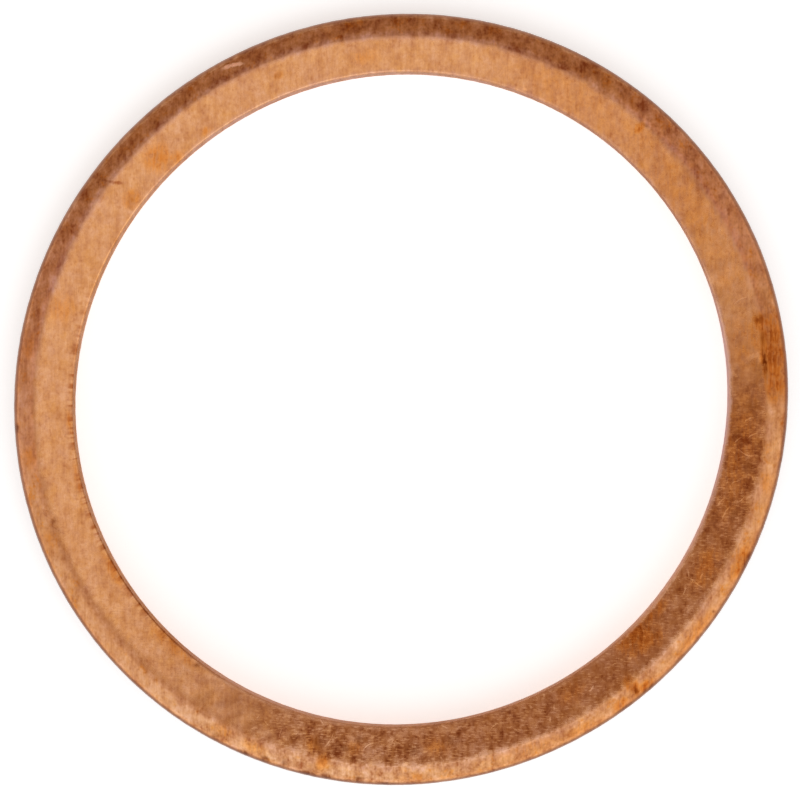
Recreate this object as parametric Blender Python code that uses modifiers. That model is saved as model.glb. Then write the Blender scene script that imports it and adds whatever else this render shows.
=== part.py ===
"""A solid copper sealing ring, stamped in one piece from rolled sheet.

The ring lies on its flat seat at z = 0, and its axis is the Z axis. The upper face climbs
gently from the bore to a narrow crest, and a rounded shoulder falls away outside the crest.
A joint bites on the crest first, and the soft ring then flattens as it is tightened.
"""

import math

import bmesh
import bpy
from mathutils import Vector

MM = 0.001

# Sizes of the ring
BORE_DIAMETER = 20.1 * MM
BAND_WIDTH = 1.9 * MM
THICKNESS = 1.5 * MM

# Upper side: the die draws the outer edge down, and the punch dishes the face towards the bore
SHOULDER_WIDTH = 0.61 * MM
SHOULDER_SLOPE = math.radians(28)
CREST_LAND = 0.14 * MM
DISH_SLOPE = math.radians(5)

# Cut walls: each is sheared upright where its cut starts, and torn, leaning back, where it ends
TORN_SHARE_OF_WALL = 0.42
TORN_LEAN = 0.05 * MM

# Roundings of the section's corners
CREST_RADIUS = 0.25 * MM
SHOULDER_FOOT_RADIUS = 0.40 * MM
BORE_ROLL_OVER_RADIUS = 0.24 * MM
EDGE_BREAK = 0.05 * MM
NO_ROUNDING = 0.0
ARC_STEP = math.radians(15)

# The ring springs a little out of round as it leaves the die
OUT_OF_ROUND = 0.0098
LONG_AXIS_TURN = math.radians(40)

SEGMENTS = 144


def clear_scene():
    for leftover in list(bpy.data.objects):
        bpy.data.objects.remove(leftover)


def copper():
    material = bpy.data.materials.new("rolled_copper")
    material.use_nodes = True
    shader = material.node_tree.nodes["Principled BSDF"]
    shader.inputs["Base Color"].default_value = (0.78, 0.40, 0.19, 1)
    shader.inputs["Metallic"].default_value = 1.0
    shader.inputs["Roughness"].default_value = 0.38
    return material


def section_corners():
    """Corners as (radius, height, rounding), from the crest down the outer wall and up the bore."""
    bore_radius = BORE_DIAMETER / 2
    outer_radius = bore_radius + BAND_WIDTH
    crest_outer = outer_radius - SHOULDER_WIDTH
    crest_inner = crest_outer - CREST_LAND
    bore_edge = bore_radius + TORN_LEAN
    shoulder_drop = SHOULDER_WIDTH * math.tan(SHOULDER_SLOPE)
    dish_drop = (crest_inner - bore_edge) * math.tan(DISH_SLOPE)
    torn_height = TORN_SHARE_OF_WALL * THICKNESS
    return [
        (crest_outer, THICKNESS, CREST_RADIUS),
        (outer_radius, THICKNESS - shoulder_drop, SHOULDER_FOOT_RADIUS),
        (outer_radius, torn_height, NO_ROUNDING),
        (outer_radius - TORN_LEAN, 0, EDGE_BREAK),
        (bore_radius, 0, BORE_ROLL_OVER_RADIUS),
        (bore_radius, THICKNESS - torn_height, NO_ROUNDING),
        (bore_edge, THICKNESS - dish_drop, EDGE_BREAK),
        (crest_inner, THICKNESS, NO_ROUNDING),
    ]


def rounded(before, corner, after, radius):
    """The points that stand for one corner: an arc touching both its sides, or the corner itself."""
    if radius == NO_ROUNDING:
        return [corner]
    to_before = before - corner
    to_after = after - corner
    turn = math.pi - to_before.angle(to_after)
    setback = min(radius * math.tan(turn / 2), 0.45 * min(to_before.length, to_after.length))
    reach = setback / math.sin(turn / 2)
    centre = corner + (to_before.normalized() + to_after.normalized()).normalized() * reach
    start = corner + to_before.normalized() * setback - centre
    end = corner + to_after.normalized() * setback - centre
    steps = max(1, round(turn / ARC_STEP))
    directions = [start.slerp(end, step / steps) for step in range(steps + 1)]
    return [centre + direction * start.length for direction in directions]


def section_points():
    corners = section_corners()
    places = [Vector((radius, height)) for radius, height, _ in corners]
    points = []
    for index, (_, _, rounding) in enumerate(corners):
        after = places[(index + 1) % len(places)]
        points += rounded(places[index - 1], places[index], after, rounding)
    return points


def sealing_ring():
    """The section, drawn as a closed loop at +X and spun round the Z axis."""
    outline = bmesh.new()
    loop = [outline.verts.new((point.x, 0, point.y)) for point in section_points()]
    for index, vertex in enumerate(loop):
        outline.edges.new((loop[index - 1], vertex))
    mesh = bpy.data.meshes.new("sealing_ring")
    outline.to_mesh(mesh)
    outline.free()

    ring = bpy.data.objects.new("sealing_ring", mesh)
    ring.rotation_euler.z = LONG_AXIS_TURN
    ring.scale = (1 + OUT_OF_ROUND, 1 - OUT_OF_ROUND, 1)
    ring.data.materials.append(copper())
    spin = ring.modifiers.new("spin", "SCREW")
    spin.steps = SEGMENTS
    spin.render_steps = SEGMENTS
    spin.use_merge_vertices = True
    spin.merge_threshold = 0.001 * MM
    spin.use_smooth_shade = True
    return ring


clear_scene()
pieces = bpy.data.collections.new("copper_sealing_ring")
bpy.context.scene.collection.children.link(pieces)
pieces.objects.link(sealing_ring())
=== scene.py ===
import math
import random

import bmesh
import bpy
from mathutils import Matrix, Vector, kdtree, noise


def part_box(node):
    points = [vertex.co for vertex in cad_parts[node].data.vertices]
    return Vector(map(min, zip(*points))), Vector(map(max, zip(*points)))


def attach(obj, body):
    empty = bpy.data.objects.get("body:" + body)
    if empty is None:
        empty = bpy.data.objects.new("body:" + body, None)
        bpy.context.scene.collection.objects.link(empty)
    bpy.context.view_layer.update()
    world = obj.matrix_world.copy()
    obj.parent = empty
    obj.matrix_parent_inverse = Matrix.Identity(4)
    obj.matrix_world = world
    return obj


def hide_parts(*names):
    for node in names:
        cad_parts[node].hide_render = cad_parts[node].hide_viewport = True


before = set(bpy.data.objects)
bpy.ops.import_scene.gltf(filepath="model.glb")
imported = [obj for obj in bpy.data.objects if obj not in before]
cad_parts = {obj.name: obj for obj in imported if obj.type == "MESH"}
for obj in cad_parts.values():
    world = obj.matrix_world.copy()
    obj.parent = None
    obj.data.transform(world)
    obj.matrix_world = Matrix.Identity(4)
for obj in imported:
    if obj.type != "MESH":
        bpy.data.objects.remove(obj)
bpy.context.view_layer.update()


# Copper sealing ring
# One solid ring, punched from rolled copper sheet. The die draws its outer edge down into a
# shoulder, the punch dishes the wide face towards the bore, and both cut walls end torn.

mm = 0.001
node_low, node_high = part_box("sealing_ring")
thickness = node_high[2] - node_low[2]
outer_radius = (node_high[0] - node_low[0] + node_high[1] - node_low[1]) / 4
band_width = 1.90 * mm
shoulder_width = 0.54 * mm
shoulder_slope = math.radians(28)
crest_land = 0.14 * mm
dish_slope = math.radians(5)
torn_share_of_wall = 0.42
torn_lean = 0.05 * mm
out_of_round = 0.0098
long_axis_turn = math.radians(40)

bore_radius = outer_radius - band_width
crest_outer = outer_radius - shoulder_width
crest_inner = crest_outer - crest_land
bore_edge = bore_radius + torn_lean
foot_height = thickness - shoulder_width * math.tan(shoulder_slope)
bore_edge_height = thickness - (crest_inner - bore_edge) * math.tan(dish_slope)
torn_height = torn_share_of_wall * thickness

# Each corner of the section: radius, height, setback of its rounding, and pieces in the rounding
section_corners = [
    (crest_outer, thickness, 0.105 * mm, 6),
    (outer_radius, foot_height, 0.240 * mm, 8),
    (outer_radius, torn_height, 0, 0),
    (outer_radius - torn_lean, 0, 0.050 * mm, 4),
    (bore_radius, 0, 0.240 * mm, 6),
    (bore_radius, thickness - torn_height, 0, 0),
    (bore_edge, bore_edge_height, 0.070 * mm, 5),
    (crest_inner, thickness, 0.030 * mm, 2),
]
top_spacing = 0.045 * mm
wall_spacing = 0.105 * mm
seat_spacing = 0.250 * mm
upper_side_from = foot_height - 0.1 * mm
level_with_seat = 0.0002 * mm
merge_distance = 0.001 * mm
sectors = 16
steps_in_sector = 64


def draw_section(mesh):
    """Draws the section as a loop at +X, rounds its corners and cuts its sides into short edges."""
    loop = [mesh.verts.new((radius, 0, height)) for radius, height, _, _ in section_corners]
    for index, vertex in enumerate(loop):
        mesh.edges.new((loop[index - 1], vertex))
    for vertex, (_, _, setback, pieces) in zip(loop, section_corners):
        if pieces:
            bmesh.ops.bevel(
                mesh, geom=[vertex], offset=setback, offset_type="OFFSET", segments=pieces,
                profile=0.5, affect="VERTICES", material=-1,
            )
    for edge in list(mesh.edges):
        heights = [vertex.co.z for vertex in edge.verts]
        if max(heights) < level_with_seat:
            spacing = seat_spacing
        elif min(heights) > upper_side_from:
            spacing = top_spacing
        else:
            spacing = wall_spacing
        cuts = int(edge.calc_length() / spacing)
        if cuts:
            bmesh.ops.subdivide_edges(mesh, edges=[edge], cuts=cuts)


def turn_ring(mesh):
    """Spins the section through one sector, then doubles it round the Z axis until it closes."""
    sector = math.tau / sectors
    bmesh.ops.spin(
        mesh, geom=mesh.verts[:] + mesh.edges[:], cent=(0, 0, 0), axis=(0, 0, 1), dvec=(0, 0, 0),
        angle=sector, steps=steps_in_sector, use_merge=False, use_duplicate=False,
    )
    turned = sector
    while turned < math.tau - sector / 2:
        half = mesh.verts[:] + mesh.edges[:] + mesh.faces[:]
        copied = bmesh.ops.duplicate(mesh, geom=half)["geom"]
        bmesh.ops.rotate(
            mesh, cent=(0, 0, 0), matrix=Matrix.Rotation(turned, 3, "Z"),
            verts=[item for item in copied if isinstance(item, bmesh.types.BMVert)],
        )
        turned *= 2
    bmesh.ops.remove_doubles(mesh, verts=mesh.verts[:], dist=merge_distance)
    bmesh.ops.recalc_face_normals(mesh, faces=mesh.faces[:])


# The crest isn't quite central between bore and rim: it sits nearer the rim on one side
crest_shift = 0.060 * mm
crest_shift_heading = math.radians(291)
crest_spread = 0.043 * mm
crest_spread_heading = math.radians(53)
crest_wander = 0.030 * mm
crest_wander_spacing = 0.42 * mm


def share(value, start, end):
    """0 at start and 1 at end, and eased between them."""
    part = min(max((value - start) / (end - start), 0), 1)
    return part * part * (3 - 2 * part)


def set_crest(mesh):
    """Notes each point's radius in the drawn section, then moves the crest to where it really lies."""
    drawn_radius = mesh.verts.layers.float.new("drawn_radius")
    for vertex in mesh.verts:
        radius = math.hypot(vertex.co.x, vertex.co.y)
        vertex[drawn_radius] = radius / mm
        angle = math.atan2(vertex.co.y, vertex.co.x)
        if radius < crest_outer:
            pull = share(radius, bore_edge, crest_outer)
        else:
            pull = 1 - share(radius, crest_outer, outer_radius)
        pull *= share(vertex.co.z, foot_height, bore_edge_height)
        move = crest_shift * math.cos(angle - crest_shift_heading)
        move -= crest_spread * math.cos(2 * (angle - crest_spread_heading))
        on_crest = Vector((math.cos(angle), math.sin(angle), 0)) * crest_outer
        move += crest_wander * noise.noise(on_crest / crest_wander_spacing)
        grown = 1 + pull * move / radius
        vertex.co.x *= grown
        vertex.co.y *= grown


# How deep each kind of unevenness goes into the metal, and how far apart its waves are
slow_wave = (0.0050 * mm, 0.62 * mm)
middle_wave = (0.0020 * mm, 0.30 * mm)
quick_wave = (0.0006 * mm, 0.15 * mm)
torn_grit = (0.022 * mm, 0.09 * mm)
shear_line = (0.004 * mm, 0.05 * mm)
rim_wave = (0.010 * mm, 0.22 * mm)

# Where a tear starts and is full, in heights above the seat, and where a side counts as steep
tear_outside = (torn_height * 1.2, torn_height * 0.8)
tear_inside = (thickness - torn_height * 1.2, thickness - torn_height * 0.8)
steep = (0.3, 0.9)
leaning = (0.1, 0.6)


def wave(place, kind):
    """An uneven depth between none and the kind's full depth."""
    depth, spacing = kind
    return depth * (0.5 + 0.5 * noise.noise(place / spacing))


def roughen(mesh):
    """Sinks every point a little: the rolled faces in slow waves, the cut walls in lines and grit."""
    mesh.normal_update()
    for vertex in mesh.verts:
        place = vertex.co.copy()
        radius = math.hypot(place.x, place.y)
        lengthways = Vector((place.x, place.y, 0)) * (outer_radius / radius)
        sideways = 1 - abs(vertex.normal.z)
        if radius > crest_inner:
            torn = share(place.z, *tear_outside)
        else:
            torn = share(place.z, *tear_inside)
        torn *= share(sideways, *steep)
        sheared = share(sideways, *steep) - torn
        depth = wave(place, slow_wave) + wave(place, middle_wave) + wave(place, quick_wave)
        depth += torn * wave(place, torn_grit) + sheared * wave(lengthways, shear_line)
        depth += share(sideways, *leaning) * wave(lengthways, rim_wave)
        vertex.co = place - vertex.normal * depth
        vertex.co.z = max(vertex.co.z, 0)


def on_section(angle, radius):
    """A point of the upper side of the round ring, from its angle on the oval one and radius in mm."""
    turn = math.radians(angle)
    turn += out_of_round * math.sin(2 * (turn - long_axis_turn))
    return Vector((math.cos(turn) * radius * mm, math.sin(turn) * radius * mm, thickness))


def find_points(mesh):
    """A finder of the mesh's points by place."""
    mesh.verts.ensure_lookup_table()
    finder = kdtree.KDTree(len(mesh.verts))
    for index, vertex in enumerate(mesh.verts):
        finder.insert(vertex.co, index)
    finder.balance()
    return finder


# Small knocks: angle round the ring in degrees, radius in mm, reach in mm and depth in mm
knocks = [
    (84, 11.62, 0.10, 0.020), (48.5, 11.30, 0.12, 0.018), (22, 11.50, 0.09, 0.012),
    (111, 10.85, 0.09, 0.008), (153, 11.60, 0.08, 0.016),
    (159, 11.55, 0.09, 0.018), (184, 11.45, 0.10, 0.014), (199, 11.30, 0.12, 0.016),
    (232, 10.22, 0.14, 0.006), (262, 11.70, 0.12, 0.018), (271, 11.35, 0.10, 0.014),
    (309, 11.72, 0.16, 0.026), (316, 10.70, 0.14, 0.005), (335, 11.75, 0.12, 0.016),
    (352, 10.90, 0.10, 0.005), (6, 11.20, 0.16, 0.010), (68, 10.20, 0.10, 0.012),
]


def knock(mesh, finder):
    mesh.normal_update()
    for angle, radius, reach, depth in knocks:
        middle = finder.find(on_section(angle, radius))[0]
        for place, index, distance in finder.find_range(middle, reach * mm):
            vertex = mesh.verts[index]
            bowl = (1 - (distance / (reach * mm)) ** 2) ** 2
            vertex.co = place - vertex.normal * depth * mm * bowl


# Orange stains and brown spots: angle in degrees, radius, reach along the radius and reach round
# the ring in mm, and strength
orange_stains = [
    (8.0, 11.55, 0.42, 1.15, 0.84), (12.0, 11.30, 0.26, 0.34, 0.90), (6.0, 11.24, 0.12, 0.70, 0.80),
    (12.5, 11.80, 0.14, 0.30, 0.55), (2.5, 11.55, 0.36, 0.60, 0.72), (10.0, 11.05, 0.20, 0.60, 0.40),
    (314.8, 10.40, 0.60, 0.66, 0.82), (316.8, 10.85, 0.28, 0.34, 0.56), (320.0, 10.30, 0.22, 0.55, 0.6),
    (308.9, 11.50, 0.34, 0.20, 0.90), (310.3, 11.74, 0.14, 0.34, 0.70), (306.0, 11.72, 0.16, 0.3, 0.60),
    (334.5, 11.70, 0.20, 0.60, 0.75), (257.8, 11.42, 0.30, 0.20, 0.60),
    (135.2, 10.68, 0.44, 0.46, 0.52), (133.2, 10.30, 0.22, 0.30, 0.46), (143.4, 10.46, 0.26, 0.3, 0.42),
    (165.0, 10.90, 0.45, 0.50, 0.25), (48.7, 11.06, 0.22, 0.14, 0.85), (126.0, 10.35, 0.12, 0.2, 0.40),
    (110.8, 10.78, 0.12, 0.16, 0.40), (300.0, 10.60, 0.30, 0.50, 0.30), (276.0, 10.80, 0.34, 0.4, 0.32),
    (262.5, 10.85, 0.24, 0.24, 0.42), (256.0, 10.95, 0.30, 0.30, 0.38), (331.0, 10.85, 0.42, 0.7, 0.50),
    (20.0, 10.60, 0.30, 0.50, 0.20), (227.0, 10.28, 0.20, 0.90, 0.42), (211.0, 10.26, 0.16, 0.6, 0.45),
    (194.0, 10.22, 0.12, 0.40, 0.50), (184.0, 10.24, 0.10, 0.30, 0.50), (189.0, 11.55, 0.2, 0.4, 0.28),
    (202.0, 11.62, 0.20, 0.36, 0.34), (172.0, 11.60, 0.20, 0.50, 0.30), (347.0, 11.6, 0.16, 0.4, 0.32),
    (96.0, 10.70, 0.30, 0.40, 0.26), (299.0, 11.70, 0.16, 0.60, 0.30), (322.0, 11.7, 0.16, 0.8, 0.35),
    (35.0, 10.70, 0.90, 5.00, 0.20), (350.0, 10.60, 0.60, 2.60, 0.30), (290.0, 11.55, 0.2, 1.2, 0.25),
    (9.0, 10.70, 0.50, 1.20, 0.28), (60.0, 10.70, 0.90, 2.50, 0.15),
    (272.0, 11.72, 0.14, 0.40, 0.36), (242.0, 11.60, 0.24, 0.40, 0.40), (247.0, 11.6, 0.2, 0.4, 0.35),
]
brown_spots = [
    (5.6, 11.26, 0.08, 0.44, 0.74), (9.4, 11.28, 0.09, 0.28, 0.42), (12.8, 11.24, 0.16, 0.18, 0.36),
    (308.8, 11.72, 0.20, 0.12, 0.55), (310.5, 11.86, 0.06, 0.26, 0.70), (306.0, 11.88, 0.05, 0.3, 0.70),
    (317.0, 11.86, 0.06, 0.20, 0.50), (334.8, 11.84, 0.09, 0.40, 0.80), (325.8, 11.78, 0.06, 0.06, 0.7),
    (241.2, 11.78, 0.13, 0.13, 0.95), (246.0, 11.86, 0.07, 0.18, 0.80), (249.3, 11.82, 0.09, 0.15, 0.9),
    (252.3, 11.74, 0.14, 0.10, 0.65), (256.0, 11.86, 0.08, 0.26, 0.95), (258.8, 11.84, 0.08, 0.2, 0.85),
    (257.6, 11.36, 0.14, 0.12, 0.20), (263.7, 11.82, 0.10, 0.16, 0.90), (268.0, 11.88, 0.05, 0.3, 0.70),
    (143.7, 10.44, 0.12, 0.12, 0.36), (144.6, 10.34, 0.08, 0.07, 0.30), (135.0, 10.78, 0.07, 0.07, 0.3),
    (110.8, 10.78, 0.09, 0.12, 0.34), (184.3, 11.86, 0.08, 0.14, 0.90), (256.6, 10.85, 0.20, 0.2, 0.50),
    (261.0, 10.90, 0.10, 0.30, 0.45), (263.0, 10.60, 0.16, 0.16, 0.40), (272.0, 10.85, 0.2, 0.26, 0.35),
    (278.0, 10.70, 0.16, 0.30, 0.35), (341.0, 10.95, 0.14, 0.20, 0.40), (349.0, 10.90, 0.2, 0.26, 0.40),
    (354.0, 10.45, 0.14, 0.26, 0.40), (359.0, 10.80, 0.26, 0.20, 0.35), (317.3, 10.80, 0.2, 0.10, 0.40),
]

# Single scratches: angle in degrees, radius, half length and half width in mm, turn in degrees,
# how far the middle bows out in half widths, and how much paler (or deeper) the copper in it is
scratches = [
    (142.7, 11.19, 0.36, 0.080, 172, 0.3, -6.0), (116.8, 11.60, 0.44, 0.074, 14, 0.8, 15.0),
    (45.6, 11.02, 0.32, 0.026, 118, 4.0, -1.5), (198.5, 11.32, 0.36, 0.026, 150, 2.5, -1.5),
    (340.6, 10.72, 0.30, 0.030, 60, 2.0, 1.0), (343.5, 10.95, 0.24, 0.026, 35, -2.0, 1.0),
    (342.2, 10.46, 0.20, 0.030, 50, 1.5, 1.0), (346.0, 10.70, 0.18, 0.026, 20, 1.5, 1.0),
    (351.2, 10.80, 0.30, 0.030, 150, 2.0, 1.0), (354.0, 10.96, 0.26, 0.026, 25, 2.0, 1.0),
    (353.0, 10.52, 0.18, 0.026, 40, 1.5, 1.0), (356.5, 10.74, 0.15, 0.028, 30, 1.0, 1.0),
    (328.4, 10.90, 0.26, 0.024, 140, 3.0, 1.0), (326.0, 10.60, 0.22, 0.022, 80, -3.0, 1.0),
    (84.0, 11.58, 0.13, 0.034, 100, 1.0, 2.0), (155.0, 11.60, 0.16, 0.026, 100, 2.0, 1.5),
    (158.2, 11.62, 0.20, 0.024, 60, 2.0, 1.5), (16.0, 10.85, 0.28, 0.030, 30, 2.0, 1.0),
    (6.6, 10.95, 0.44, 0.110, 24, 0.5, 0.2), (4.4, 10.32, 0.17, 0.080, 130, 0.5, 0.5),
    (265.0, 10.80, 0.30, 0.024, 30, 4.0, 1.0), (258.0, 10.70, 0.34, 0.024, 60, -3.0, 1.0),
    (269.4, 10.55, 0.26, 0.022, 150, 3.0, 1.0), (32.6, 11.62, 0.22, 0.024, 10, 2.0, 1.0),
    (20.4, 11.60, 0.20, 0.022, 60, 2.0, 1.0), (107.2, 10.72, 0.45, 0.022, 92, 1.0, -1.0),
    (113.4, 10.78, 0.42, 0.022, 100, 1.0, -1.0), (286.0, 10.60, 0.20, 0.024, 40, 2.0, 1.0),
    (250.4, 10.95, 0.22, 0.022, 75, 2.0, 1.0), (13.2, 11.72, 0.22, 0.026, 120, 2.0, 1.0),
    (197.2, 11.42, 0.20, 0.024, 160, 1.0, -2.0), (200.6, 11.26, 0.30, 0.022, 145, 1.0, -2.0),
    (102.0, 10.95, 0.30, 0.022, 96, 1.0, -1.5), (118.0, 10.60, 0.25, 0.020, 88, 1.0, -1.0),
]

# Hair-fine handling scratches, thick on the side that has had the most handling. The lowest and
# highest of each measure are in the same order as above
hair_seed = 11
hair_scratches = 30
hair_ranges = [
    (244, 360), (10.18, 11.16), (0.06, 0.17), (0.026, 0.040), (0, 180), (-1.0, 1.0), (0.3, 1.2),
]
chance = random.Random(hair_seed)
for _ in range(hair_scratches):
    scratches.append(tuple(chance.uniform(low, high) for low, high in hair_ranges))
far_from_scratch = 40
stain_core = 0.2
stain_end = 1.5
scratch_end = 1.6
scratch_layers = ("scratch_first", "scratch_second", "scratch_third")


def mark(mesh, finder):
    """Writes on the mesh how stained each point is, and where the nearest scratch lies."""
    stain = mesh.verts.layers.float_vector.new("stain")
    layers = [mesh.verts.layers.float_vector.new(name) for name in scratch_layers]
    mesh.verts.ensure_lookup_table()
    for part, marks in enumerate((orange_stains, brown_spots)):
        for angle, radius, reach_out, reach_round, strength in marks:
            middle = on_section(angle, radius)
            back = Matrix.Rotation(-math.radians(angle), 3, "Z")
            reach = stain_end * max(reach_out, reach_round) * mm + shoulder_width
            for place, index, _ in finder.find_range(middle, reach):
                offset = back @ (place - middle) / mm
                away = math.hypot(offset.x / reach_out, offset.y / reach_round)
                amounts = mesh.verts[index][stain].copy()
                amount = strength * (1 - share(away, stain_core, stain_end))
                amounts[part] = max(amounts[part], amount)
                mesh.verts[index][stain] = amounts
    for vertex in mesh.verts:
        for scratch in layers:
            vertex[scratch] = (far_from_scratch, far_from_scratch, 0)
    for number, (angle, radius, half_length, half_width, turn, bow, paler) in enumerate(scratches):
        scratch = layers[number % len(layers)]
        middle = on_section(angle, radius)
        back = Matrix.Rotation(-math.radians(turn), 3, "Z")
        for place, index, _ in finder.find_range(middle, half_length * mm + shoulder_width):
            offset = back @ (place - middle) / mm
            along = offset.x / half_length
            across = offset.y / half_width - bow * (1 - along * along)
            vertex = mesh.verts[index]
            if abs(along) < scratch_end and abs(across) < abs(vertex[scratch].y):
                vertex[scratch] = (along, across, paler)


def spring_oval(mesh):
    turn = Matrix.Rotation(-long_axis_turn, 4, "Z")
    stretch = (1 + out_of_round, 1 - out_of_round, 1)
    bmesh.ops.scale(mesh, vec=stretch, space=turn, verts=mesh.verts[:])


ring_shape = bmesh.new()
draw_section(ring_shape)
turn_ring(ring_shape)
set_crest(ring_shape)
roughen(ring_shape)
ring_points = find_points(ring_shape)
knock(ring_shape, ring_points)
mark(ring_shape, ring_points)
spring_oval(ring_shape)
ring_mesh = bpy.data.meshes.new("stamped_copper_ring")
ring_shape.to_mesh(ring_mesh)
ring_shape.free()
ring_mesh.shade_smooth()
ring = bpy.data.objects.new("stamped_copper_ring", ring_mesh)
bpy.context.scene.collection.objects.link(ring)


def put(tree, kind, inputs, **settings):
    """Adds a node, sets its options, and links or sets each of the named inputs."""
    made = tree.nodes.new("ShaderNode" + kind)
    for name, value in settings.items():
        setattr(made, name, value)
    for name, value in inputs.items():
        if isinstance(value, bpy.types.NodeSocket):
            tree.links.new(value, made.inputs[name])
        else:
            made.inputs[name].default_value = value
    return made


def sum_up(tree, operation, *values):
    """The result of a chain of one kind of sum on several values."""
    result = values[0]
    for value in values[1:]:
        result = put(tree, "Math", {0: result, 1: value}, operation=operation).outputs[0]
    return result


def ramp(tree, value, low, high):
    """0 where the value is low and 1 where it is high, eased between."""
    inputs = {"Value": value, "From Min": low, "From Max": high}
    return put(tree, "MapRange", inputs, interpolation_type="SMOOTHSTEP").outputs["Result"]


def spread(tree, value, gain):
    """How far the value is from a half, times the gain."""
    return put(tree, "Math", {0: value, 1: gain, 2: -0.5 * gain}, operation="MULTIPLY_ADD").outputs[0]


def blend(tree, amount, first, second, kind="MIX"):
    inputs = {"Factor": amount, "A": first, "B": second}
    return put(tree, "Mix", inputs, data_type="RGBA", blend_type=kind).outputs["Result"]


def colour_scale(tree, value, stops):
    """A colour read off a scale of colours, given as (place on the scale, colour)."""
    scale = put(tree, "ValToRGB", {"Fac": value})
    while len(scale.color_ramp.elements) < len(stops):
        scale.color_ramp.elements.new(0.5)
    for element, (place_on_scale, stop_colour) in zip(scale.color_ramp.elements, stops):
        element.position = place_on_scale
        element.color = stop_colour
    return scale.outputs["Color"]


def new_group(name, inputs, outputs):
    """An empty node group with its sockets, and the nodes that bring them in and out."""
    group = bpy.data.node_groups.new(name, "ShaderNodeTree")
    for label in inputs:
        group.interface.new_socket(label, in_out="INPUT", socket_type="NodeSocketVector")
    for label in outputs:
        group.interface.new_socket(label, in_out="OUTPUT", socket_type="NodeSocketFloat")
    return group, group.nodes.new("NodeGroupInput").outputs, group.nodes.new("NodeGroupOutput").inputs


def rolling_grain():
    """Straight streaks along Y that the mill's rolls leave: broad ones and fine ones."""
    group, given, result = new_group("rolling_grain", ["Place"], ["Broad", "Fine"])
    for label, stretch, detail in (("Broad", (4.6, 0.55, 1), 2.0), ("Fine", (11, 1.3, 1), 1.5)):
        stretched = put(group, "Mapping", {"Vector": given["Place"], "Scale": stretch}).outputs[0]
        streaks = put(group, "TexNoise", {
            "Vector": stretched, "Scale": 1.0, "Detail": detail, "Roughness": 0.7,
        }, noise_dimensions="2D")
        group.links.new(streaks.outputs["Fac"], result[label])
    return group


def mottled_skin():
    """Uneven skin of the soft metal: how deep its colour is, how orange, and its small relief."""
    outputs = ["Depth", "Tint", "Spots", "Relief", "Specks"]
    group, given, result = new_group("mottled_skin", ["Place"], outputs)
    stretched = put(group, "Mapping", {"Vector": given["Place"], "Scale": (1.3, 1.0, 1.2)})
    skin = put(group, "TexNoise", {
        "Vector": stretched.outputs[0], "Scale": 1.8, "Detail": 3.0, "Roughness": 0.80,
    })
    channels = put(group, "SeparateColor", {"Color": skin.outputs["Color"]}).outputs
    relief = put(group, "TexNoise", {
        "Vector": stretched.outputs[0], "Scale": 2.8, "Detail": 1.0, "Roughness": 0.60,
    })
    group.links.new(channels["Red"], result["Depth"])
    group.links.new(channels["Green"], result["Tint"])
    group.links.new(ramp(group, channels["Blue"], 0.62, 0.74), result["Spots"])
    group.links.new(relief.outputs["Fac"], result["Relief"])
    specks = put(group, "TexNoise", {
        "Vector": stretched.outputs[0], "Scale": 8.0, "Detail": 1.0, "Roughness": 0.50,
    })
    group.links.new(specks.outputs["Fac"], result["Specks"])
    return group


def scattered_scratches():
    """Short fine scratches of one direction, thinly scattered."""
    group, given, result = new_group("scattered_scratches", ["Place", "Turn", "Stretch"], ["Mask"])
    turned = put(group, "Mapping", {
        "Vector": given["Place"], "Rotation": given["Turn"], "Scale": given["Stretch"],
    })
    cells = put(group, "TexVoronoi", {
        "Vector": turned.outputs[0], "Scale": 1.0, "Randomness": 1.0,
    }, voronoi_dimensions="2D")
    near = ramp(group, cells.outputs["Distance"], 0.34, 0.06)
    lot = put(group, "SeparateColor", {"Color": cells.outputs["Color"]}).outputs["Red"]
    group.links.new(sum_up(group, "MULTIPLY", near, ramp(group, lot, 0.4, 0.85)), result["Mask"])
    return group


copper_deep = (0.430, 0.122, 0.036, 1)
copper_plain = (0.745, 0.335, 0.140, 1)
copper_pale = (1.000, 0.540, 0.290, 1)
pinkish = (1.00, 1.05, 1.28, 1)
orange = (1.00, 0.94, 0.70, 1)
untinted = (1, 1, 1, 1)
stain_yellow = (1.00, 0.83, 0.52, 1)
stain_orange = (0.93, 0.64, 0.27, 1)
stain_deep = (0.70, 0.40, 0.14, 1)
spot_brown = (0.40, 0.26, 0.17, 1)
mauve_patch = (0.82, 0.76, 1.05, 1)
speck_brown = (0.72, 0.52, 0.36, 1)
warm_rim = (1.00, 0.95, 0.82, 1)
# Mauve painted over the bore edge's highlight on the far side
mauve_over_edge_highlight = (0.97, 1.05, 1.38, 1)
bared_copper = (1.00, 0.72, 0.55, 1)
hazy_shoulder = (1.08, 1.06, 1.18, 1)
pale_shoulder = (1.03, 1.09, 1.18, 1)
# Brown painted along the crest as a line of shade
crest_shade_brown = (0.60, 0.42, 0.36, 1)
edge_brown = (0.60, 0.36, 0.20, 1)
# Brown painted on the rim as shade
rim_shade_brown = (0.37, 0.30, 0.26, 1)
torn_shade = (0.60, 0.46, 0.40, 1)
pale_cut = (0.98, 1.06, 1.22, 1)
# Mauve haze over the crest, which on the near side also dims its highlight as painted shade
crest_mauve_and_shade = (0.94, 0.98, 1.26, 1)
# Pale copper painted on the bore edge as its highlight
edge_highlight_copper = (1.00, 0.58, 0.37, 1)

copper = bpy.data.materials.new("rolled_copper")
copper.use_nodes = True
copper_nodes = copper.node_tree
copper_shader = copper_nodes.nodes["Principled BSDF"]


def product(*values):
    """Masks, patterns and weights multiplied together in the copper's material."""
    return sum_up(copper_nodes, "MULTIPLY", *values)


def total(*values):
    return sum_up(copper_nodes, "ADD", *values)


def highest(*values):
    return sum_up(copper_nodes, "MAXIMUM", *values)


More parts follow.
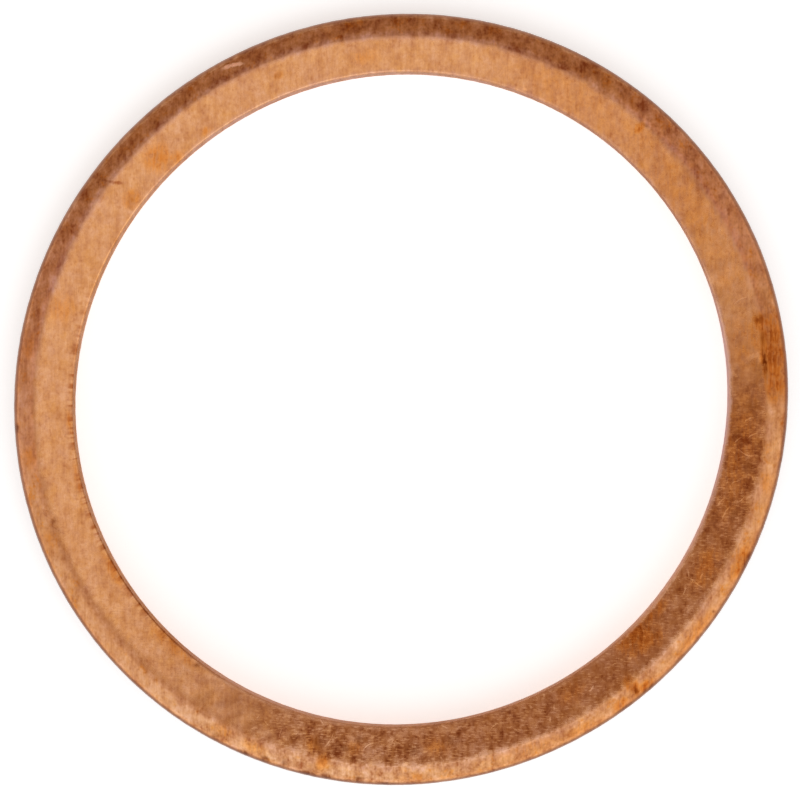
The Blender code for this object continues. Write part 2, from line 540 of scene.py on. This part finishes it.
def opposite(mask):
    return sum_up(copper_nodes, "SUBTRACT", 1.0, mask)


def eased(value, low, high):
    return ramp(copper_nodes, value, low, high)


def swing(value, gain):
    return spread(copper_nodes, value, gain)


def tinted(amount, base, tint):
    return blend(copper_nodes, amount, base, tint, "MULTIPLY")


def add_group(group, **inputs):
    made = put(copper_nodes, "Group", {}, node_tree=group)
    for name, value in inputs.items():
        socket = made.inputs[name.capitalize()]
        if isinstance(value, bpy.types.NodeSocket):
            copper_nodes.links.new(value, socket)
        else:
            socket.default_value = value
    return made.outputs


# Where a point of the ring is, in mm, and which way it faces
coordinates = put(copper_nodes, "TexCoord", {}).outputs
place = put(
    copper_nodes, "VectorMath", {0: coordinates["Object"], "Scale": 1 / mm}, operation="SCALE",
).outputs["Vector"]
place_parts = put(copper_nodes, "SeparateXYZ", {0: place}).outputs
flat_place = put(copper_nodes, "CombineXYZ", {"X": place_parts["X"], "Y": place_parts["Y"]}).outputs[0]
lengthways = put(copper_nodes, "VectorMath", {0: flat_place}, operation="NORMALIZE").outputs["Vector"]
radius = put(copper_nodes, "Attribute", {}, attribute_name="drawn_radius").outputs["Fac"]
facing = put(copper_nodes, "SeparateXYZ", {0: coordinates["Normal"]}).outputs["Z"]
flatness = put(copper_nodes, "Math", {0: facing}, operation="ABSOLUTE").outputs[0]
wall_to_face = (0.35, 0.75)
on_face = eased(flatness, *wall_to_face)
on_wall = opposite(on_face)
on_shoulder = product(on_face, eased(radius, crest_inner / mm, crest_outer / mm))
inside_crest = opposite(on_shoulder)

# Bands along the section, as the radii in mm where each begins and where it is full
bore_mm = bore_radius / mm
rim_mm = outer_radius / mm
ticked_band = (bore_mm + 0.35, bore_mm + 0.07)
edge_highlight_band = (bore_mm + 0.21, bore_mm + 0.07)
mauve_over_edge_band = (bore_mm + 0.23, bore_mm + 0.07)
outer_half = (bore_mm + 0.55, bore_mm + 0.85)
warm_band = (rim_mm - 0.60, rim_mm - 0.20)


def towards(degrees):
    """1 on the side of the ring at this angle, 0 a quarter turn away, and -1 on the far side."""
    heading = (math.cos(math.radians(degrees)), math.sin(math.radians(degrees)), 0)
    dot = put(copper_nodes, "VectorMath", {0: lengthways, 1: heading}, operation="DOT_PRODUCT")
    return dot.outputs["Value"]


def beside(degrees, start, full):
    """A mask round one angle of the ring: 0 below the cosine start, and 1 above the cosine full."""
    return eased(towards(degrees), start, full)


grain = add_group(rolling_grain(), place=place)
skin = add_group(mottled_skin(), place=place)

# Scattered scratches: the turn of each layer in degrees, and its cells in each mm along and across
scatter_group = scattered_scratches()
scatter_layers = [(12, 2.6, 12), (57, 3.0, 13), (101, 3.4, 14), (148, 3.8, 15)]
scattered = 0.0
for turn, cells_along, cells_across in scatter_layers:
    scatter = add_group(
        scatter_group, place=place, turn=(0, 0, math.radians(turn)),
        stretch=(cells_along, cells_across, 1),
    )
    scattered = highest(scattered, scatter["Mask"])

# Single scratches, with sides frayed by the grain
scratched = 0.0
paler = 0.0
for layer in scratch_layers:
    scratch = put(copper_nodes, "Attribute", {}, attribute_name=layer).outputs["Vector"]
    scratch = put(copper_nodes, "SeparateXYZ", {0: scratch}).outputs
    along = put(copper_nodes, "Math", {0: scratch["X"]}, operation="ABSOLUTE").outputs[0]
    across = put(copper_nodes, "Math", {0: scratch["Y"]}, operation="ABSOLUTE").outputs[0]
    across = total(across, swing(grain["Fine"], 1.0))
    within = product(eased(across, 1.0, 0.2), eased(along, 1.0, 0.3))
    scratched = highest(scratched, within)
    paler = total(paler, product(within, scratch["Z"]))

# Stains and spots, with edges broken up by the skin and the grain
least_stain = 0.45
most_stain = 1.4
stain = put(copper_nodes, "Attribute", {}, attribute_name="stain").outputs["Vector"]
stain = put(copper_nodes, "SeparateXYZ", {0: stain}).outputs
stain_edge = total(
    1.0, swing(skin["Depth"], 4.2), swing(skin["Relief"], 2.6), swing(grain["Fine"], 3.0),
)
stain_edge = sum_up(copper_nodes, "MINIMUM", highest(stain_edge, least_stain), most_stain)
stained = product(stain["X"], stain_edge)
spotted = product(stain["Y"], stain_edge)

# The face has been handled most on its near right side, which lies in shade, and is busiest with marks
# at the near end
handled_shaded_face = product(inside_crest, beside(303, 0.47, 0.68))
busy_face = product(handled_shaded_face, beside(268, 0.82, 0.97))
handled_shaded_and_busy = total(handled_shaded_face, busy_face)

# How much of each pattern shows: a plain share, and what each part of the ring adds to it
depth_of_skin = total(
    0.95,
    product(on_shoulder, 0.25),
    product(on_shoulder, beside(100, 0.2, 0.7), 1.4),
    product(on_shoulder, beside(256, 0.90, 0.98), 0.5),
    product(on_shoulder, beside(285, 0.5, 0.9), 0.65),
    product(handled_shaded_face, 0.85),
    product(busy_face, 0.7),
)
depth_of_grain = total(1.0, product(on_shoulder, 0.6))
depth_of_specks = total(
    0.35, product(handled_shaded_face, 0.5), product(busy_face, 0.8), product(on_shoulder, 0.3),
)

# Tone, from deep copper at 0 to pale copper at 1, as a sum of patterns and of paler or deeper sides
tone = total(
    0.5,
    product(swing(skin["Depth"], 1.0), depth_of_skin),
    product(swing(grain["Broad"], 0.30), depth_of_grain),
    product(swing(grain["Fine"], 0.24), depth_of_grain),
    # Painted shade and glints: the fine relief drawn into the colour on the shaded near right face
    product(swing(skin["Relief"], 0.6), handled_shaded_and_busy),
    product(swing(skin["Specks"], -0.45), depth_of_specks),
    # Painted glints: the scattered scratches paler on the shaded face
    product(scattered, handled_shaded_and_busy, 0.22),
    # Painted light: the shaded face paler on its near right side
    product(handled_shaded_face, beside(297, 0.74, 0.86), 0.15),
    product(handled_shaded_face, beside(6, 0.93, 0.99), -0.20),
    product(inside_crest, beside(18, 0.970, 0.997), 0.06),
    product(inside_crest, beside(50, 0.90, 0.98), -0.08),
    product(on_shoulder, beside(9, 0.96, 0.99), -0.10),
    product(eased(grain["Fine"], 0.60, 0.76), -0.12),
    product(paler, 0.07),
)
colour = colour_scale(copper_nodes, tone, [(0, copper_deep), (0.5, copper_plain), (1, copper_pale)])

# Hue: pinkish or orange with the skin, then the stains, and then each side's own haze
hue = total(0.5, swing(skin["Tint"], 2.0))
colour = tinted(1.0, colour, colour_scale(copper_nodes, hue, [(0, pinkish), (1, orange)]))
flecks = product(eased(skin["Tint"], 0.56, 0.70), on_shoulder, 0.38)
stain_colour = colour_scale(copper_nodes, highest(stained, flecks), [
    (0, untinted), (0.4, stain_yellow), (0.75, stain_orange), (1, stain_deep),
])
colour = tinted(1.0, colour, stain_colour)
colour = tinted(product(eased(radius, *warm_band), beside(318, 0.55, 0.95)), colour, warm_rim)
hazy_side = highest(beside(36, 0.93, 0.985), beside(172, 0.88, 0.98))
colour = tinted(product(on_shoulder, hazy_side), colour, hazy_shoulder)
colour = tinted(product(on_shoulder, beside(262, 0.72, 0.92)), colour, pale_shoulder)
colour = tinted(spotted, colour, spot_brown)
colour = blend(copper_nodes, product(paler, 0.06), colour, bared_copper)
patches = product(skin["Spots"], on_shoulder, 0.5, opposite(stain["X"]))
colour = tinted(patches, colour, mauve_patch)
specks = product(
    eased(skin["Specks"], 0.58, 0.74),
    total(0.25, product(handled_shaded_face, 0.20), product(stain["X"], 0.35)),
)
colour = tinted(specks, colour, speck_brown)

# The crest: a mauve haze over it that on the near side also dims the crest's highlight as painted
# shade, and a painted brown line of shade along the crest on the near left side
crest_middle = (crest_outer + crest_inner) / 2 / mm
off_crest = total(radius, -crest_middle, swing(skin["Relief"], 0.20))
off_crest = put(copper_nodes, "Math", {0: off_crest}, operation="ABSOLUTE").outputs[0]
near_side = beside(300, 0.3, 0.8)
crest_blur = product(off_crest, total(1.0, product(near_side, 0.1)))
near_crest = product(eased(crest_blur, 0.26, 0.04), on_face)
at_crest = product(eased(off_crest, 0.16, 0.02), on_face)
# Painted shade: a brown line along the crest on the near left side
crest_shade_line = product(at_crest, beside(224, 0.80, 0.97), eased(skin["Tint"], 0.30, 0.56), 0.34)
# Mauve haze over the crest; on the near side it is painted shade that dims the crest's highlight
crest_haze_and_shade = product(
    eased(off_crest, 0.20, 0.03), on_face,
    highest(beside(95, 0.0, 0.5), product(near_side, 0.3)),
)
colour = tinted(crest_haze_and_shade, colour, crest_mauve_and_shade)
colour = tinted(crest_shade_line, colour, crest_shade_brown)

# The bore's upper edge: short brown ticks on the left, a painted highlight of pale copper near and
# right, and far off a mauve tint painted over the edge's highlight
ticks_in_radius = 62.0
ticks = put(copper_nodes, "TexNoise", {
    "Vector": lengthways, "Scale": ticks_in_radius, "Detail": 1.5, "Roughness": 0.6,
}).outputs["Fac"]
bore_reach = total(radius, swing(skin["Depth"], 0.22))
bore_ticks = product(
    eased(bore_reach, *ticked_band), on_face, eased(ticks, 0.44, 0.62),
    total(product(beside(196, 0.78, 0.95), 0.85), 0.05),
)
colour = tinted(bore_ticks, colour, edge_brown)
# Painted highlight: pale copper blended along the bore edge near and right, where its rounding catches
# the light
edge_highlight_sides = total(
    product(beside(284, 0.50, 0.74), 0.46),
    product(beside(345, 0.80, 0.93), 0.70),
    product(beside(248, 0.92, 0.99), 0.26),
)
bore_edge_highlight = product(eased(bore_reach, *edge_highlight_band), edge_highlight_sides)
colour = blend(copper_nodes, bore_edge_highlight, colour, edge_highlight_copper)
# Painted over the bore edge's highlight on the far side: a mauve tint that makes it less bright and
# yellow
toned_down_edge_highlight = product(eased(bore_reach, *mauve_over_edge_band), beside(60, -0.1, 0.5))
colour = tinted(toned_down_edge_highlight, colour, mauve_over_edge_highlight)

# Painted shade on the rim: browner all round, and the brown reaches further in on the far side, away
# from the window
outside = eased(radius, *outer_half)
rim_shade_flatness = total(flatness, product(towards(100), -0.08))
painted_rim_shade = product(eased(rim_shade_flatness, 0.80, 0.52), outside)
colour = tinted(painted_rim_shade, colour, rim_shade_brown)

# The cut walls: upright and burnished where the cut starts, torn and dull where it ends
tear_fade = 0.04
torn_below = torn_height / mm
torn_above = (thickness - torn_height) / mm
ragged_height = total(place_parts["Z"], swing(skin["Relief"], 0.35))
torn_outside = eased(ragged_height, torn_below + tear_fade, torn_below - tear_fade)
torn_inside = eased(ragged_height, torn_above - tear_fade, torn_above + tear_fade)
torn = put(copper_nodes, "Mix", {0: outside, 2: torn_inside, 3: torn_outside}).outputs[0]
torn = product(torn, on_wall)
in_bore = product(opposite(outside), on_wall)
torn_deep = product(torn, total(0.15, product(outside, 0.85)))
colour = tinted(torn_deep, colour, torn_shade)
colour = tinted(in_bore, colour, pale_cut)

# Roughness: that of the clean face, and what each mark or part of the ring adds to it
roughness = total(
    0.13,
    swing(skin["Relief"], 0.10),
    product(scratched, 0.14),
    product(scattered, 0.08),
    product(near_crest, 0.20),
    product(beside(26, 0.90, 0.98), 0.05),
    product(on_shoulder, 0.20),
    product(bore_edge_highlight, 0.34),
    product(in_bore, 0.50),
    product(paler, 0.03),
    product(on_wall, 0.10),
    product(torn, 0.18),
    product(stained, 0.08),
)

# Height of the fine relief, as shares of its full depth, and calmer on two sides
relief_depth = 0.0060 * mm
calm = highest(beside(28, 0.70, 0.90), beside(230, 0.80, 0.97))
relief_share = total(0.28, product(on_shoulder, 0.36), product(handled_shaded_face, 0.12))
fine_height = total(
    product(grain["Broad"], 0.18),
    product(grain["Fine"], 0.02),
    product(skin["Relief"], relief_share),
    product(scattered, -0.020),
)
height = total(
    product(fine_height, opposite(product(calm, 0.78))),
    product(scratched, -0.11),
    product(torn, skin["Relief"], 1.5),
)
relief = put(copper_nodes, "Bump", {"Strength": 1.0, "Distance": relief_depth, "Height": height})

# The bore wall is duller than the rest, as if under a thin pale film
film_on_bore = 0.65
copper_nodes.links.new(colour, copper_shader.inputs["Base Color"])
copper_nodes.links.new(roughness, copper_shader.inputs["Roughness"])
copper_nodes.links.new(relief.outputs["Normal"], copper_shader.inputs["Normal"])
copper_nodes.links.new(opposite(product(in_bore, film_on_bore)), copper_shader.inputs["Metallic"])
ring_mesh.materials.append(copper)

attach(ring, "root")
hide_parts("sealing_ring")


# Floor
# A plain white sheet that the ring lies on. It shows white to the camera and in the metal, and
# keeps the ring's soft shadow.

floor_size = 4.0
floor_shape = bmesh.new()
bmesh.ops.create_grid(floor_shape, x_segments=1, y_segments=1, size=floor_size / 2)
floor_mesh = bpy.data.meshes.new("floor")
floor_shape.to_mesh(floor_mesh)
floor_shape.free()
floor = bpy.data.objects.new("floor", floor_mesh)
bpy.context.scene.collection.objects.link(floor)

paper = bpy.data.materials.new("white_paper")
paper.use_nodes = True
paper_nodes = paper.node_tree
paper_shader = paper_nodes.nodes["Principled BSDF"]
glow_where_seen = 0.60
rays = put(paper_nodes, "LightPath", {}).outputs
seen = sum_up(
    paper_nodes, "MAXIMUM",
    rays["Is Camera Ray"], rays["Is Glossy Ray"], rays["Is Transmission Ray"],
)
glow = sum_up(paper_nodes, "MULTIPLY", seen, glow_where_seen)
paper_nodes.links.new(glow, paper_shader.inputs["Emission Strength"])
paper_shader.inputs["Emission Color"].default_value = (1, 1, 1, 1)
paper_shader.inputs["Base Color"].default_value = (0.82, 0.82, 0.82, 1)
paper_shader.inputs["Roughness"].default_value = 0.9
paper_shader.inputs["Specular IOR Level"].default_value = 0.0
floor_mesh.materials.append(paper)


# Light
# A wide window low in front, a dimmer and warmer room behind, a dim ceiling, and a large square
# softbox overhead. The softbox's near edge crosses the view in the ring's wide face.

window_heading = math.radians(280)
window_colour = (0.92, 0.94, 0.96, 1)
room_colour = (0.36, 0.240, 0.170, 1)
world = bpy.data.worlds.new("soft_window_room")
bpy.context.scene.world = world
world.use_nodes = True
room_nodes = world.node_tree
window_fade = (-0.75, 0.50)
ceiling_fade = (0.985, 0.90)
window_side = (math.cos(window_heading), math.sin(window_heading), 0)
seen_towards = put(room_nodes, "TexCoord", {}).outputs["Generated"]
upward = put(room_nodes, "SeparateXYZ", {0: seen_towards}).outputs["Z"]
level = put(room_nodes, "VectorMath", {0: seen_towards, 1: (1, 1, 0)}, operation="MULTIPLY").outputs[0]
level = put(room_nodes, "VectorMath", {0: level}, operation="NORMALIZE").outputs[0]
to_window = put(
    room_nodes, "VectorMath", {0: level, 1: window_side}, operation="DOT_PRODUCT",
).outputs["Value"]
in_window = sum_up(
    room_nodes, "MULTIPLY",
    ramp(room_nodes, to_window, *window_fade), ramp(room_nodes, upward, *ceiling_fade),
)
light_from = blend(room_nodes, in_window, room_colour, window_colour)
room_nodes.links.new(light_from, room_nodes.nodes["Background"].inputs["Color"])

softbox_side = 0.61
softbox_distance = 0.90
softbox_heading = math.radians(307.5)
softbox_lean = math.radians(14.5)
softbox_radiance = 0.74
softbox_data = bpy.data.lights.new("softbox", "AREA")
softbox_data.size = softbox_side
softbox_data.color = (0.74, 0.90, 1.00)
softbox_data.energy = softbox_radiance * math.pi * softbox_side ** 2
softbox = bpy.data.objects.new("softbox", softbox_data)
bpy.context.scene.collection.objects.link(softbox)
softbox_direction = Vector((
    math.sin(softbox_lean) * math.cos(softbox_heading),
    math.sin(softbox_lean) * math.sin(softbox_heading),
    math.cos(softbox_lean),
))
softbox.location = softbox_direction * softbox_distance
softbox.rotation_euler = softbox_direction.to_track_quat("Z", "Y").to_euler()


# Camera
# It looks almost straight down on the ring, from a little to the right, through a long lens.

camera_distance = 0.80
camera_lean = math.radians(0.9)
camera_heading = math.radians(340)
frame_width = 24.70 * mm
sensor_width = 36.0
look_at = Vector((-0.024 * mm, -0.023 * mm, thickness))
away = Vector((
    math.sin(camera_lean) * math.cos(camera_heading),
    math.sin(camera_lean) * math.sin(camera_heading),
    math.cos(camera_lean),
))
camera_data = bpy.data.cameras.new("camera")
camera_data.sensor_width = sensor_width
camera_data.lens = sensor_width * camera_distance / frame_width
camera_data.clip_start = 0.01
camera_data.clip_end = 10
camera = bpy.data.objects.new("camera", camera_data)
bpy.context.scene.collection.objects.link(camera)
side = Vector((0, 1, 0)).cross(away).normalized()
camera.location = look_at + away * camera_distance
camera.rotation_euler = Matrix((side, away.cross(side), away)).transposed().to_euler()
bpy.context.scene.camera = camera

bpy.context.scene.view_settings.view_transform = "Standard"
